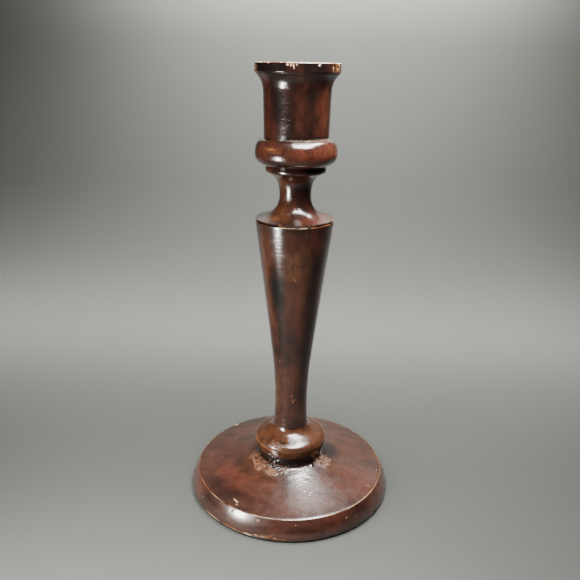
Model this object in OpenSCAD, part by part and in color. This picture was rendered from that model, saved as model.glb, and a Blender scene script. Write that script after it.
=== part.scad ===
// Turned wooden candlestick: a base, a tapering stem and a nozzle, each turned on its own,
// joined by tenons, with a screw under the base and a baize pad over the screw.
// Millimetres, +Z up. The origin is the centre of the foot, on the table.

/* [Height] */
// Height from the table to the top of the rim
total_h = 250; // [246:0.5:254]

/* [Base] */
// Widest radius of the base
base_r = 60.9; // [60.6:0.1:64]
// Height of the widest place above the table
base_belly_z = 2.8; // [2.6:0.1:5]
// Radius of the underside, at its lower edge
base_foot_r = 60.6; // [58:0.1:60.6]
// Radius of the crisp arris between the side and the top
arris_r = 56.5; // [52:0.1:57.5]
// Height of the arris above the table
arris_z = 13.1; // [10:0.1:15]
// Height of the flat seat that the stem stands on
seat_z = 22.2; // [19:0.1:23]

/* [Foot of the stem] */
// Radius of the collar that stands on the base
collar_r = 19.3; // [17:0.1:20]
// Widest radius of the foot bead
foot_bead_r = 21.5; // [20.6:0.1:23]
// Height of the widest place of the foot bead
foot_bead_z = 32.6; // [30:0.1:34]
// Height where the ogee above the bead runs into the column
ogee_z = 42.5; // [40:0.25:46]

/* [Column] */
// Radius of the column just above the ogee
ankle_r = 10; // [9.4:0.1:10.8]
// Radius of the thinnest place
waist_r = 9.6; // [9:0.1:10.4]
// Height of the thinnest place
waist_z = 60; // [55:0.5:75]
// Radius of the shoulder, where the nozzle sits on the stem
shoulder_r = 21.7; // [18:0.1:24]
// Height of the shoulder
shoulder_z = 168.2; // [160:0.2:170]

/* [Neck] */
// Height of the flange's upright edge
flange_t = 1.5; // [1:0.1:2.5]
// Thinnest radius of the neck
neck_r = 8.7; // [7.5:0.1:10]
// Height of the thinnest place of the neck
neck_z = 182; // [178:0.2:185]
// Radius of the small ring under the cup
ring_r = 16.5; // [15:0.1:18]
// Height of the ring's middle
ring_z = 196.1; // [195:0.1:197]

/* [Cup] */
// Widest radius of the bead under the cup
bead_r = 22.2; // [20:0.1:24]
// Height of the bead's widest place
bead_z = 204.7; // [203:0.1:206]
// Height of the crease between the bead and the cup
crease_z = 212; // [211:0.1:213.5]
// Radius of the cup just above the crease
cup_low_r = 17.35; // [16:0.05:18]
// Radius of the cup where the cove under the rim starts
cup_high_r = 18; // [17:0.05:19]
// Distance from the top of the rim down to the start of the cove
cove_drop = 13.5; // [11:0.25:16]
// Radius of the rim band
rim_r = 22.35; // [21:0.05:24]
// Height of the rim band
rim_h = 4.9; // [3:0.1:7]

/* [Candle bore] */
// Diameter of the candle socket
candle_d = 22; // [20:0.5:25]
// Depth of the candle socket
candle_depth = 28; // [20:0.5:32]

/* [Joinery] */
// Radial gap of each glued joint
glue_gap = 0.1; // [0.05:0.05:0.3]
// Diameter of the tenon that enters the base
lower_tenon_d = 16; // [12:0.5:20]
// Length of the tenon that enters the base
lower_tenon_h = 14; // [8:0.5:15]
// Diameter of the tenon that enters the top of the stem
upper_tenon_d = 12; // [9:0.5:14]
// Length of the tenon that enters the top of the stem
upper_tenon_h = 22; // [12:0.5:30]

/* [Screw and baize] */
// Thickness of the baize pad
baize_t = 2; // [1.5:0.1:2.5]
// Distance from the lower edge of the base in to the edge of the pad
baize_inset = 1; // [0:0.1:3]
// Length of the screw
screw_len = 31; // [22:0.5:40]
// Radius of the screw's plain shank and of its thread crests
screw_r = 2.1; // [1.6:0.05:2.5]
// Radius of the screw's head
screw_head_r = 4.2; // [3.4:0.1:5]
// Distance between two thread crests
thread_pitch = 1.8; // [1.2:0.1:2.4]

/* [Hidden] */

base_wood = "#4a241a";
stem_wood = "#3c1d15";
nozzle_wood = "#42201a";
steel = "#8f8b84";
baize_green = "#1d2a22";

round_fn = 128;
curve_steps = 10;
short_steps = 5;
overcut = 1;

end_gap = 0.6;
bore_tip = 0.6;
quirk = 0.35;
edge_round = 0.5;
recess = 0.5;
rim_z = total_h - rim_h;
cove_z = total_h - cove_drop;
flange_top_z = shoulder_z + flange_t;
mortise_z = seat_z - lower_tenon_h - end_gap;
head_z = baize_t + recess;
head_h = screw_head_r - screw_r;
slot_w = 1.1;
slot_depth = 1.2;
thread_depth = 0.6;
tip_h = 4;
pilot_r = screw_r + 0.05;

// Points of a cubic Bezier curve, without its first point
function bezier(a, b, c, d, steps = curve_steps) =
    [for (i = [1:steps]) let (t = i / steps, s = 1 - t)
        s * s * s * a + 3 * s * s * t * b + 3 * s * t * t * c + t * t * t * d];

// Points of an elliptical arc, without its first point
function arc(centre, rx, rz, from, to, steps = short_steps) =
    [for (i = [1:steps]) let (angle = from + (to - from) * i / steps)
        centre + [rx * cos(angle), rz * sin(angle)]];

module turned(outline) {
    rotate_extrude($fn = round_fn) polygon(outline);
}

// A round hole along Z, from one height up to another
module bore(r, low, high) {
    translate([0, 0, low]) cylinder(r = r, h = high - low, $fn = round_fn);
}

// Leaning side, crisp arris, and a top that sweeps up to the seat
function base_outline() = concat(
    [[0, baize_t], [base_foot_r, baize_t]],
    [[base_r, base_belly_z]],
    bezier([base_r, base_belly_z], [base_r, base_belly_z + 2.4],
        [arris_r + 2.1, arris_z - 2.7], [arris_r, arris_z]),
    bezier([arris_r, arris_z], [arris_r - 13, arris_z + 1.9],
        [collar_r + 9, seat_z - 3.6], [collar_r + 0.4, seat_z]),
    [[0, seat_z]]);

module base() {
    color(base_wood) difference() {
        turned(base_outline());
        bore(lower_tenon_d / 2 + glue_gap, mortise_z, seat_z + overcut);
        bore(screw_r + 0.3, baize_t - overcut, mortise_z + overcut);
        bore(screw_head_r + glue_gap, baize_t - overcut, head_z);
        translate([0, 0, head_z])
            cylinder(r1 = screw_head_r + glue_gap, r2 = screw_r + 0.3,
                h = head_h, $fn = round_fn);
    }
}

// Tenon, collar, foot bead, ogee and the long taper up to the shoulder
function stem_outline() = concat(
    [[0, seat_z - lower_tenon_h], [lower_tenon_d / 2, seat_z - lower_tenon_h],
        [lower_tenon_d / 2, seat_z], [collar_r, seat_z]],
    bezier([collar_r, seat_z], [collar_r - 0.1, seat_z + 4.2],
        [foot_bead_r, foot_bead_z - 5.4], [foot_bead_r, foot_bead_z]),
    bezier([foot_bead_r, foot_bead_z], [foot_bead_r, foot_bead_z + 5.4],
        [ankle_r + 1.2, foot_bead_z + 3], [ankle_r, ogee_z]),
    bezier([ankle_r, ogee_z], [ankle_r - 0.3, ogee_z + 6],
        [waist_r, waist_z - 8], [waist_r, waist_z], short_steps),
    bezier([waist_r, waist_z], [waist_r, waist_z + 14],
        [waist_r + 4, waist_z + 58], [shoulder_r, shoulder_z]),
    [[0, shoulder_z]]);

module stem() {
    color(stem_wood) difference() {
        turned(stem_outline());
        bore(upper_tenon_d / 2 + glue_gap,
            shoulder_z - upper_tenon_h - end_gap, shoulder_z + overcut);
        bore(pilot_r, seat_z - lower_tenon_h - overcut, head_z + screw_len + bore_tip);
    }
}

// Tenon, flange, neck, ring, bead, cup and rim
function nozzle_outline() = concat(
    [[0, shoulder_z - upper_tenon_h], [upper_tenon_d / 2, shoulder_z - upper_tenon_h],
        [upper_tenon_d / 2, shoulder_z], [shoulder_r - quirk, shoulder_z]],
    [[shoulder_r, shoulder_z + quirk], [shoulder_r, flange_top_z - edge_round]],
    arc([shoulder_r - edge_round, flange_top_z - edge_round], edge_round, edge_round, 0, 90),
    bezier([shoulder_r - edge_round, flange_top_z], [neck_r + 3.6, flange_top_z + 1.6],
        [neck_r, neck_z - 6.5], [neck_r, neck_z]),
    bezier([neck_r, neck_z], [neck_r, neck_z + 5.5],
        [neck_r + 1.2, ring_z - 4.6], [ring_r - 2.6, ring_z - 2.4]),
    arc([ring_r - 1.4, ring_z], 1.4, 1.9, -80, 62),
    bezier([ring_r - 0.74, ring_z + 1.68], [ring_r + 2.2, ring_z + 2.4],
        [bead_r, bead_z - 4.4], [bead_r, bead_z]),
    bezier([bead_r, bead_z], [bead_r, bead_z + 4.6],
        [cup_low_r + 2.6, crease_z + 0.3], [cup_low_r, crease_z]),
    bezier([cup_low_r, crease_z], [cup_low_r + 0.1, crease_z + 8],
        [cup_high_r - 0.2, cove_z - 8], [cup_high_r, cove_z], short_steps),
    bezier([cup_high_r, cove_z], [cup_high_r + 0.4, cove_z + 4.6],
        [rim_r - 2.2, rim_z - 2.2], [rim_r - 0.6, rim_z - 0.5]),
    [[rim_r - 0.4, rim_z], [rim_r, rim_z + 0.3], [rim_r, total_h - edge_round]],
    arc([rim_r - edge_round, total_h - edge_round], edge_round, edge_round, 0, 90),
    [[0, total_h]]);

module nozzle() {
    color(nozzle_wood) difference() {
        turned(nozzle_outline());
        bore(candle_d / 2, total_h - candle_depth, total_h + overcut);
    }
}

// One thread crest at every pitch, from the plain shank down to the tip
function thread_outline(low, high) =
    [for (z = [low:thread_pitch:high - thread_pitch])
        each [[screw_r - thread_depth, z], [screw_r, z + thread_pitch / 2]]];

module base_screw() {
    shank_z = head_z + screw_len / 3;
    tip_z = head_z + screw_len - tip_h;
    color(steel) difference() {
        turned(concat(
            [[0, head_z], [screw_head_r, head_z], [screw_r, head_z + head_h],
                [screw_r, shank_z]],
            thread_outline(shank_z + thread_pitch / 2, tip_z),
            [[screw_r - thread_depth, tip_z], [0, tip_z + tip_h]]));
        translate([-screw_head_r - overcut, -slot_w / 2, head_z - overcut])
            cube([2 * (screw_head_r + overcut), slot_w, slot_depth + overcut]);
    }
}

module baize_pad() {
    color(baize_green) cylinder(r = base_foot_r - baize_inset, h = baize_t, $fn = round_fn);
}

base();
stem();
nozzle();
base_screw();
baize_pad();
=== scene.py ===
"""The looks of a turned wooden candlestick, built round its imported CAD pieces.

The mesh code works in millimetres and degrees, with heights above the table. Azimuth 0 is the front
(-Y) and 90 is the right (+X). The stage, the lights and the camera are in metres.
"""
import math

import bpy
import numpy as np
from mathutils import Matrix, Vector


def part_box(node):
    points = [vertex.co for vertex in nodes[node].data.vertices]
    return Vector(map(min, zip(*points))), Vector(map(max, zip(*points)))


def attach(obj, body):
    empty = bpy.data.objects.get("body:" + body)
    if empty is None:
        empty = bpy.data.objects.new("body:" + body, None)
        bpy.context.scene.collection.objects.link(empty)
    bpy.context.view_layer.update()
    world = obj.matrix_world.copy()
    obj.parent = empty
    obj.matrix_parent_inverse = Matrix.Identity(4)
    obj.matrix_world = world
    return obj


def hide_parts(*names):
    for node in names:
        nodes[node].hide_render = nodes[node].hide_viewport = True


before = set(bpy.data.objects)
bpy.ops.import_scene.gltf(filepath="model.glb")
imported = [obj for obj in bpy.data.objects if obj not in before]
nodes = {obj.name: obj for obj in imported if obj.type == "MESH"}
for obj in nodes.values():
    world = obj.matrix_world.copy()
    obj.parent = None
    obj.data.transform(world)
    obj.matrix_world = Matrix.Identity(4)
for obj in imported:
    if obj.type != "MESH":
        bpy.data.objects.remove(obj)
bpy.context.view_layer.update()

MM = 0.001

# Reading an outline: the seam's slack, the turns in degrees that make a corner, and a corner's rounding
SEAM_SLACK = 1e-3
SHARP_TURN = 26
FLAT_TURN = 0.8
EDGE_ROUND = 0.22
FINE_STEP = 0.05

# The grids: columns round each piece, and the spacing of rows where nothing shows
BASE_COLUMNS = 544
STEM_COLUMNS = 280
NOZZLE_COLUMNS = 304
PAD_COLUMNS = 360
HIDDEN_STEP = 2.5
LAST_STEP = 1.4
CREASE_ANGLE = 50


# ---- noise


def lattice(cell, seed):
    """A repeatable random number from 0 to 1 for each whole-numbered cell."""
    x, y, z = cell[..., 0], cell[..., 1], cell[..., 2]
    mixed = (x * 374761393 + y * 668265263 + z * 1103515245 + seed * 362437) & 0xFFFFFFFF
    mixed = ((mixed ^ (mixed >> 13)) * 1274126177) & 0xFFFFFFFF
    mixed = ((mixed ^ (mixed >> 15)) * 2246822519) & 0xFFFFFFFF
    return ((mixed ^ (mixed >> 16)) & 0xFFFFFF) / 0xFFFFFF


def noise(places, seed):
    """Smooth value noise from -1 to 1."""
    cell = np.floor(places).astype(np.int64)
    part = places - cell
    part = part * part * (3 - 2 * part)
    total = 0
    for corner in range(8):
        step = np.array([corner & 1, corner >> 1 & 1, corner >> 2 & 1])
        weight = np.prod(np.where(step, part, 1 - part), axis=-1)
        total = total + weight * lattice(cell + step, seed)
    return 2 * total - 1


def fractal(places, size, seed, octaves=3):
    """Layers of noise, each half the size and half the strength of the one before."""
    total, share = 0, 1.0
    for octave in range(octaves):
        total = total + share * noise(places * 2**octave / size, seed + 17 * octave)
        share /= 2
    return total / (2 - 2 * share)


def ramp(value, low, high):
    """0 below low, 1 above high, and smooth between. low may be the larger."""
    t = np.clip((value - low) / (high - low), 0, 1)
    return t * t * (3 - 2 * t)


# ---- outlines


def seam_outline(node):
    """The (r, z) corners of a turned CAD node, in order round its section, read along its seam."""
    mesh = node.data
    co = np.empty(len(mesh.vertices) * 3, np.float32)
    mesh.vertices.foreach_get("co", co)
    co = co.reshape(-1, 3) / MM
    on_seam = np.flatnonzero((np.abs(co[:, 1]) < SEAM_SLACK) & (co[:, 0] > -SEAM_SLACK))
    corners, index = [], {}
    for i in on_seam:
        corner = (round(float(co[i, 0]), 2), round(float(co[i, 2]), 2))
        if corner not in corners:
            corners.append(corner)
        index[int(i)] = corners.index(corner)
    ends = np.empty(len(mesh.edges) * 2, np.int32)
    mesh.edges.foreach_get("vertices", ends)
    links = [set() for _ in corners]
    for a, b in ends.reshape(-1, 2).tolist():
        if a in index and b in index and index[a] != index[b]:
            links[index[a]].add(index[b])
            links[index[b]].add(index[a])
    drop_long_links(corners, links)
    close_flat_faces(corners, links)
    return walk(corners, links)


def drop_long_links(corners, links):
    """Removes each link that passes over a corner lying between its two ends."""
    for a, near in enumerate(links):
        for b in sorted(near):
            whole = math.dist(corners[a], corners[b])
            for c in sorted(near - {b}):
                if b in links[c]:
                    detour = math.dist(corners[a], corners[c]) + math.dist(corners[c], corners[b])
                    if detour < whole * 1.0005:
                        links[a].discard(b)
                        links[b].discard(a)


def close_flat_faces(corners, links):
    """Joins loose ends across the flat rings, and takes the flat discs in to the axis."""
    loose = [i for i, near in enumerate(links) if len(near) == 1]
    while loose:
        a = loose.pop()
        mates = [b for b in loose if abs(corners[a][1] - corners[b][1]) < 0.02]
        if mates:
            b = mates[0]
            loose.remove(b)
        else:
            b = len(corners)
            corners.append((0.0, corners[a][1]))
            links.append(set())
        links[a].add(b)
        links[b].add(a)


def walk(corners, links):
    """The corners in order from the axis, or all the way round a closed section."""
    start = next((i for i, near in enumerate(links) if len(near) == 1), 0)
    order, here, before = [start], start, None
    while True:
        onward = [i for i in links[here] if i != before and (i == start or i not in order)]
        onward = [i for i in onward if not (i == start and len(order) < 3)]
        if not onward or onward[0] == start:
            break
        before, here = here, onward[0]
        order.append(here)
    loop = np.array([corners[i] for i in order])
    closed = loop[0, 0] > 0
    area = np.sum(loop[:, 0] * np.roll(loop[:, 1], -1) - np.roll(loop[:, 0], -1) * loop[:, 1])
    return (loop if area > 0 else loop[::-1]), closed


def turns(points, closed):
    """The change of direction at each point, in degrees, and 180 at the two ends of an open line."""
    back = points - np.roll(points, 1, axis=0)
    ahead = np.roll(points, -1, axis=0) - points
    cross = back[:, 0] * ahead[:, 1] - back[:, 1] * ahead[:, 0]
    angle = np.degrees(np.abs(np.arctan2(cross, (back * ahead).sum(axis=1))))
    if not closed:
        angle[0] = angle[-1] = 180
    return angle


def distances(points, power=1.0):
    """How far along a line each of its points lies, with each step raised to a power."""
    return np.concatenate([[0], np.cumsum(np.linalg.norm(np.diff(points, axis=0), axis=1) ** power)])


def spline(points):
    """A fine line through the points of one smooth run, with a centripetal Catmull-Rom spline."""
    if len(points) == 2:
        count = max(2, int(math.dist(points[0], points[1]) / FINE_STEP))
        return points[0] + np.linspace(0, 1, count)[:, None] * (points[1] - points[0])
    padded = np.vstack([2 * points[0] - points[1], points, 2 * points[-1] - points[-2]])
    line = []
    for i in range(len(points) - 1):
        p = padded[i : i + 4]
        knot = distances(p, power=0.5)
        count = max(2, int(math.dist(p[1], p[2]) / FINE_STEP))
        t = np.linspace(knot[1], knot[2], count, endpoint=False)[:, None]

        def between(first, last, low, high):
            span = knot[last] - knot[first]
            return (knot[last] - t) / span * low + (t - knot[first]) / span * high

        a = [between(k, k + 1, p[k], p[k + 1]) for k in range(3)]
        b = [between(k, k + 2, a[k], a[k + 1]) for k in range(2)]
        line.append(between(1, 2, b[0], b[1]))
    return np.vstack([*line, points[-1:]])


def soften(line, at, reach):
    """Rounds the line off where it turns sharply: each corner becomes a small curve."""
    length = distances(line)
    out = line.copy()
    for i in at:
        near = np.flatnonzero(np.abs(length - length[i]) < reach)
        first, last = line[near[0]], line[near[-1]]
        t = ((length[near] - length[near[0]]) / max(length[near[-1]] - length[near[0]], 1e-9))[:, None]
        out[near] = (1 - t) ** 2 * first + 2 * t * (1 - t) * line[i] + t * t * last
    return out


def smooth_outline(node):
    """The section of a CAD node as one fine line, round where it was turned round, and its corners."""
    points, closed = seam_outline(node)
    keep = turns(points, closed) > FLAT_TURN
    points = points[keep]
    sharp = np.flatnonzero(turns(points, closed) > SHARP_TURN)
    if closed:
        points = np.roll(points, -sharp[0], axis=0)
        points = np.vstack([points, points[:1]])
        sharp = np.append(sharp - sharp[0], len(points) - 1)
    line, marks = [], []
    for first, last in zip(sharp[:-1], sharp[1:]):
        run = spline(points[first : last + 1])
        line.append(run[:-1])
        marks.append(sum(len(r) for r in line))
    line = np.vstack([*line, points[-1:]])
    return soften(line, marks[:-1], EDGE_ROUND), points[sharp], closed


# ---- turned surfaces


class Turned:
    """A turned piece as a fine grid: a row for each station of its outline, a column for each azimuth."""

    def __init__(self, node, columns, step_at):
        """step_at gives the distance between rows at a radius and a height."""
        line, self.corners, self.closed = smooth_outline(nodes[node])
        length = distances(line)
        places = [0.0]
        while True:
            i = np.searchsorted(length, places[-1])
            step = step_at(*line[min(i, len(line) - 1)])
            if places[-1] + LAST_STEP * step > length[-1]:
                break
            places.append(places[-1] + step)
        if not self.closed:
            places.append(length[-1])

        def at(s):
            s = s % length[-1] if self.closed else np.clip(s, 0, length[-1])
            return np.stack([np.interp(s, length, line[:, k]) for k in (0, 1)])

        s = np.array(places)
        r, z = at(s)
        dr, dz = at(s + FINE_STEP) - at(s - FINE_STEP)
        size = np.hypot(dr, dz) + 1e-12
        self.azimuth = np.arange(columns) * 360 / columns
        self.bearing = (self.azimuth[None, :] + 180) % 360 - 180
        self.station = {"s": s, "r": r, "z": z}
        self.s, self.r, self.z = (np.repeat(v[:, None], columns, axis=1) for v in (s, r, z))
        self.out_r, self.out_z = (dz / size)[:, None], (-dr / size)[:, None]
        turn = np.radians(self.azimuth)
        self.sin, self.cos = np.sin(turn)[None, :], np.cos(turn)[None, :]
        self.places = np.stack([self.r * self.sin, -self.r * self.cos, self.z], axis=-1)
        self.relief = np.zeros_like(self.r)
        self.masks = {}

    def corner_near(self, radius, height):
        """The radius and height of the outline's sharp corner that is nearest to a place."""
        off = self.corners - np.array([radius, height])
        return self.corners[int(np.argmin(np.hypot(off[:, 0], off[:, 1])))]

    def mask(self, name):
        """The mask of this name, for wear, tone, painted shade and painted highlights, made empty when it is
        first asked for.
        """
        return self.masks.setdefault(name, np.zeros_like(self.r))

    def paint(self, name, amount):
        """Adds a mask where it is stronger than what is there."""
        np.maximum(self.mask(name), np.clip(amount, 0, 1), out=self.mask(name))

    def rings(self, size, seed):
        """Noise that runs round the piece, as the marks of a turning tool do."""
        wander = 0.7
        across, ahead = (wander * side + 0 * self.s for side in (self.sin, self.cos))
        return noise(np.stack([self.s / size, across, ahead], axis=-1), seed)

    def grain(self, size, seed, octaves=3, lift=1.0):
        """Noise over the piece, drawn out along Z where lift is under 1."""
        return fractal(self.places * np.array([1, 1, lift]), size, seed, octaves)

    def facing(self, azimuth, far, near):
        """1 within near degrees of an azimuth in front, and 0 beyond far degrees."""
        return ramp(np.abs(self.bearing - azimuth), far, near)

    def away(self, azimuth, height, radius=None):
        """Distances on the surface from a place on it: round the piece, and along its outline."""
        off = np.abs(self.station["z"] - height)
        if radius is not None:
            off = np.hypot(off, self.station["r"] - radius)
        off = off + 1000 * (self.out_r[:, 0] * self.station["r"] < -1e-6)
        k = int(np.argmin(off))
        turn = (self.azimuth - azimuth + 180) % 360 - 180
        round_it = np.radians(turn)[None, :] * max(self.station["r"][k], 1)
        return round_it + 0 * self.s, self.s - self.station["s"][k]

    def spot(self, azimuth, height, wide, tall, radius=None, ragged=0.5, soft=0.35, tilt=0, seed=1):
        """A patch of wear from 0 to 1, with a ragged edge. tilt turns it, in degrees."""
        across, along = self.away(azimuth, height, radius)
        lean = math.radians(tilt)
        u = across * math.cos(lean) + along * math.sin(lean)
        v = along * math.cos(lean) - across * math.sin(lean)
        reach = np.hypot(2 * u / wide, 2 * v / tall)
        near = reach < 1 + soft + ragged
        reach[near] += ragged * fractal(self.places[near], 0.45 * min(wide, tall) + 0.4, seed)
        return ramp(reach, 1 + soft, 1 - soft)

    def bead(self, azimuth, height, radius, size, squash=1.0):
        """A drop of glue from 0 to 1, narrower along the outline where squash is over 1."""
        across, along = self.away(azimuth, height, radius)
        return np.clip(1 - (across**2 + squash * along**2) / (size / 2) ** 2, 0, 1) ** 0.7

    def build(self, name, replaced, material):
        """The mesh object, with the relief pushed out along the normals and the masks as attributes."""
        rows, columns = self.r.shape
        r = self.r + self.out_r * self.relief
        z = self.z + self.out_z * self.relief
        co = np.stack([r * self.sin, -r * self.cos, z], axis=-1).reshape(-1, 3) * MM
        poles = [k for k in (0, rows - 1) if self.station["r"][k] < 1e-6]
        k = np.arange(rows if self.closed else rows - 1)[:, None]
        j = np.arange(columns)[None, :]
        up, on = (k + 1) % rows, (j + 1) % columns
        faces = np.stack([k * columns + j, k * columns + on, up * columns + on, up * columns + j], axis=-1)
        faces = faces.reshape(-1, 4)
        for pole in poles:
            faces = np.where(faces // columns == pole, pole * columns, faces)
        used = np.unique(faces)
        shapes = [list(dict.fromkeys(face)) for face in np.searchsorted(used, faces).tolist()]
        mesh = bpy.data.meshes.new(name)
        mesh.from_pydata(co[used].tolist(), [], shapes)
        for label, values in self.masks.items():
            layer = mesh.attributes.new(label, "FLOAT", "POINT")
            layer.data.foreach_set("value", values.ravel()[used].astype(np.float32))
        mesh.polygons.foreach_set("use_smooth", np.ones(len(mesh.polygons), bool))
        piece = bpy.data.objects.new(name, mesh)
        bpy.context.scene.collection.objects.link(piece)
        mesh.set_sharp_from_angle(angle=math.radians(CREASE_ANGLE))
        mesh.materials.append(material)
        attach(piece, "root")
        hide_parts(replaced)
        return piece


# ---- materials


class Graph:
    """Short calls for building a node material."""

    def __init__(self, name):
        self.material = bpy.data.materials.new(name)
        self.material.use_nodes = True
        self.tree = self.material.node_tree
        self.tree.nodes.clear()
        self.shader = self.add("ShaderNodeBsdfPrincipled")
        output = self.add("ShaderNodeOutputMaterial")
        self.tree.links.new(self.shader.outputs["BSDF"], output.inputs["Surface"])
        coords = self.add("ShaderNodeTexCoord").outputs["Object"]
        self.places = self.scaled(coords, (1 / MM, 1 / MM, 1 / MM))

    def add(self, kind, settings=None, **inputs):
        node = self.tree.nodes.new(kind)
        for key, value in (settings or {}).items():
            setattr(node, key, value)
        for key, value in inputs.items():
            self.put(node.inputs[key], value)
        return node

    def put(self, socket, value):
        if isinstance(value, bpy.types.NodeSocket):
            self.tree.links.new(value, socket)
        else:
            socket.default_value = value

    def give(self, name, value):
        """Sets one input of the shader."""
        self.put(self.shader.inputs[name], value)

    def bump(self, height, depth):
        """Gives the shader a relief, where a height of 1 is depth metres."""
        bump = self.add("ShaderNodeBump", Height=height, Distance=depth)
        self.give("Normal", bump.outputs["Normal"])

    def scaled(self, vector, scale):
        return self.add("ShaderNodeMapping", Vector=vector, Scale=scale).outputs["Vector"]

    def noise(self, size, stretch=(1, 1, 1), detail=3.0, rough=0.55, twist=0.0, seed=0.0):
        """Noise whose features are about size mm across, drawn out by stretch along each axis."""
        vector = self.scaled(self.places, [1 / (size * s) for s in stretch])
        looks = {"Scale": 1.0, "Detail": detail, "Roughness": rough, "Distortion": twist}
        node = self.add("ShaderNodeTexNoise", {"noise_dimensions": "4D"}, Vector=vector, W=seed, **looks)
        return node.outputs["Fac"]

    def mask(self, name):
        return self.add("ShaderNodeAttribute", {"attribute_name": name}).outputs["Fac"]

    def math(self, operation, a, b):
        node = self.add("ShaderNodeMath", {"operation": operation})
        self.put(node.inputs[0], a)
        self.put(node.inputs[1], b)
        return node.outputs[0]

    def times(self, a, b):
        return self.math("MULTIPLY", a, b)

    def plus(self, a, b):
        return self.math("ADD", a, b)

    def between(self, value, low, high, to_low=0.0, to_high=1.0):
        """Maps low..high to to_low..to_high with a smooth step, and holds outside."""
        limits = {"From Min": low, "From Max": high, "To Min": to_low, "To Max": to_high}
        node = self.add("ShaderNodeMapRange", {"interpolation_type": "SMOOTHSTEP"}, Value=value, **limits)
        return node.outputs["Result"]

    def blend(self, share, a, b):
        node = self.add("ShaderNodeMix", {"data_type": "RGBA"})
        self.put(node.inputs["Factor"], share)
        self.put(node.inputs[6], (*a, 1) if isinstance(a, tuple) else a)
        self.put(node.inputs[7], (*b, 1) if isinstance(b, tuple) else b)
        return node.outputs[2]

    def value_blend(self, share, a, b):
        node = self.add("ShaderNodeMix", {"data_type": "FLOAT"})
        self.put(node.inputs["Factor"], share)
        self.put(node.inputs[2], a)
        self.put(node.inputs[3], b)
        return node.outputs[0]

    def frayed(self, name, size=0.6, amount=0.5, seed=0.0):
        """A mask whose edge is broken up by fine noise."""
        fine = self.math("SUBTRACT", self.noise(size, detail=4, rough=0.7, seed=seed), 0.5)
        value = self.plus(self.mask(name), self.times(fine, 2 * amount))
        marked = self.between(self.mask(name), 0.02, 0.12)
        return self.times(self.between(value, 0.35, 0.65), marked)


DARK_STAIN = (0.0032, 0.0019, 0.0016)
BROWN_STAIN = (0.01, 0.0037, 0.0026)
RED_STAIN = (0.02, 0.0056, 0.0034)
RUDDY = (0.044, 0.0118, 0.0066)
GOLDEN = (0.043, 0.0165, 0.0073)
AMBER_WOOD = (0.105, 0.042, 0.0165)
TAN_GLUE = (0.2, 0.082, 0.026)
# The pale colour of worn-through wood, also used for the painted highlight lines on edges
BARE_WOOD_AND_HIGHLIGHT = (0.37, 0.28, 0.155)
# Near black for soot and old glue, also used for painted shade
SOOT_AND_SHADE = (0.003, 0.0027, 0.0024)
THIN_STAIN = (0.055, 0.018, 0.008)
DARK_GLUE = (0.03, 0.011, 0.005)
DIRTY_WOOD = (0.14, 0.075, 0.036)
BAIZE_DARK = (0.0016, 0.0026, 0.002)
BAIZE_LIGHT = (0.006, 0.0092, 0.007)
BAIZE_DUSTY = (0.0025, 0.0034, 0.0028)
STEEL_DARK = (0.34, 0.33, 0.31)
STEEL_LIGHT = (0.52, 0.5, 0.47)
RUST = (0.16, 0.062, 0.025)
PAPER_TONES = ((0.021, 0.0216, 0.0203), (0.024, 0.0247, 0.0232))
WALL_TONES = ((0.055, 0.0565, 0.053), (0.07, 0.072, 0.0675))
FULL_STAIN = (DARK_STAIN, BROWN_STAIN, RED_STAIN)
WORN_STAIN = ((0.0115, 0.0042, 0.0029), (0.024, 0.0082, 0.005), (0.036, 0.0118, 0.007))

VARNISH_IOR = 1.46

# How much longer the grain is than wide, on each axis: up the stem, and across the base
UPRIGHT_GRAIN = (1, 1, 22)
FLAT_GRAIN = (26, 1, 1)


def stained_wood(g, along, tones, fibre, knots, glue, bare_and_highlight):
    """The colour: cloudy stain, with worn wood, glue, soot, painted shade, worn-through wood and painted
    highlight lines over it.
    """
    dark, middle, warm = tones
    cloud = g.noise(15, [1.6 if a > 1 else 1 for a in along], detail=3, rough=0.6, twist=0.5, seed=1)
    blotch = g.noise(5, [1.8 if a > 1 else 1 for a in along], detail=4, rough=0.65, twist=0.3, seed=13)
    streak = g.noise(1.9, along, detail=4, rough=0.6, twist=0.3, seed=2)
    pores = g.noise(0.3, [0.35 * a if a > 1 else a for a in along], detail=1, seed=4)

    depth = g.plus(g.times(cloud, 0.5), g.times(blotch, 0.3))
    depth = g.plus(depth, g.times(streak, 0.2))
    colour = g.blend(g.between(depth, 0.38, 0.53), dark, middle)
    colour = g.blend(g.between(depth, 0.48, 0.63), colour, warm)
    mottle = g.plus(g.times(blotch, 0.75), g.times(streak, 0.25))
    ruddy = g.times(g.mask("ruddy"), g.between(mottle, 0.38, 0.6, 0.35, 1.0))
    colour = g.blend(ruddy, colour, RUDDY)
    golden = g.times(g.mask("golden"), g.between(mottle, 0.36, 0.58, 0.4, 1.0))
    colour = g.blend(golden, colour, GOLDEN)
    colour = g.blend(g.between(fibre, 0.42, 0.72, 0.0, 0.3), colour, dark)
    colour = g.blend(g.times(g.between(pores, 0.66, 0.74), 0.5), colour, SOOT_AND_SHADE)

    amber = g.frayed("amber", 1.2, 0.4, 5)
    worn = g.blend(g.between(fibre, 0.35, 0.65), THIN_STAIN, AMBER_WOOD)
    colour = g.blend(g.times(amber, g.between(blotch, 0.3, 0.6, 0.6, 1.0)), colour, worn)
    crust = g.blend(g.between(knots, 0.44, 0.62), DARK_GLUE, TAN_GLUE)
    colour = g.blend(glue, colour, crust)
    # The soot mask also carries painted shade under the foot bead and on the cup's reflection strip
    colour = g.blend(g.mask("soot_and_shade"), colour, SOOT_AND_SHADE)
    raw = g.blend(g.noise(0.55, detail=4, rough=0.7, seed=14), DIRTY_WOOD, BARE_WOOD_AND_HIGHLIGHT)
    # The bare mask also carries painted highlight lines on the edges
    return g.blend(bare_and_highlight, colour, raw)


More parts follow.
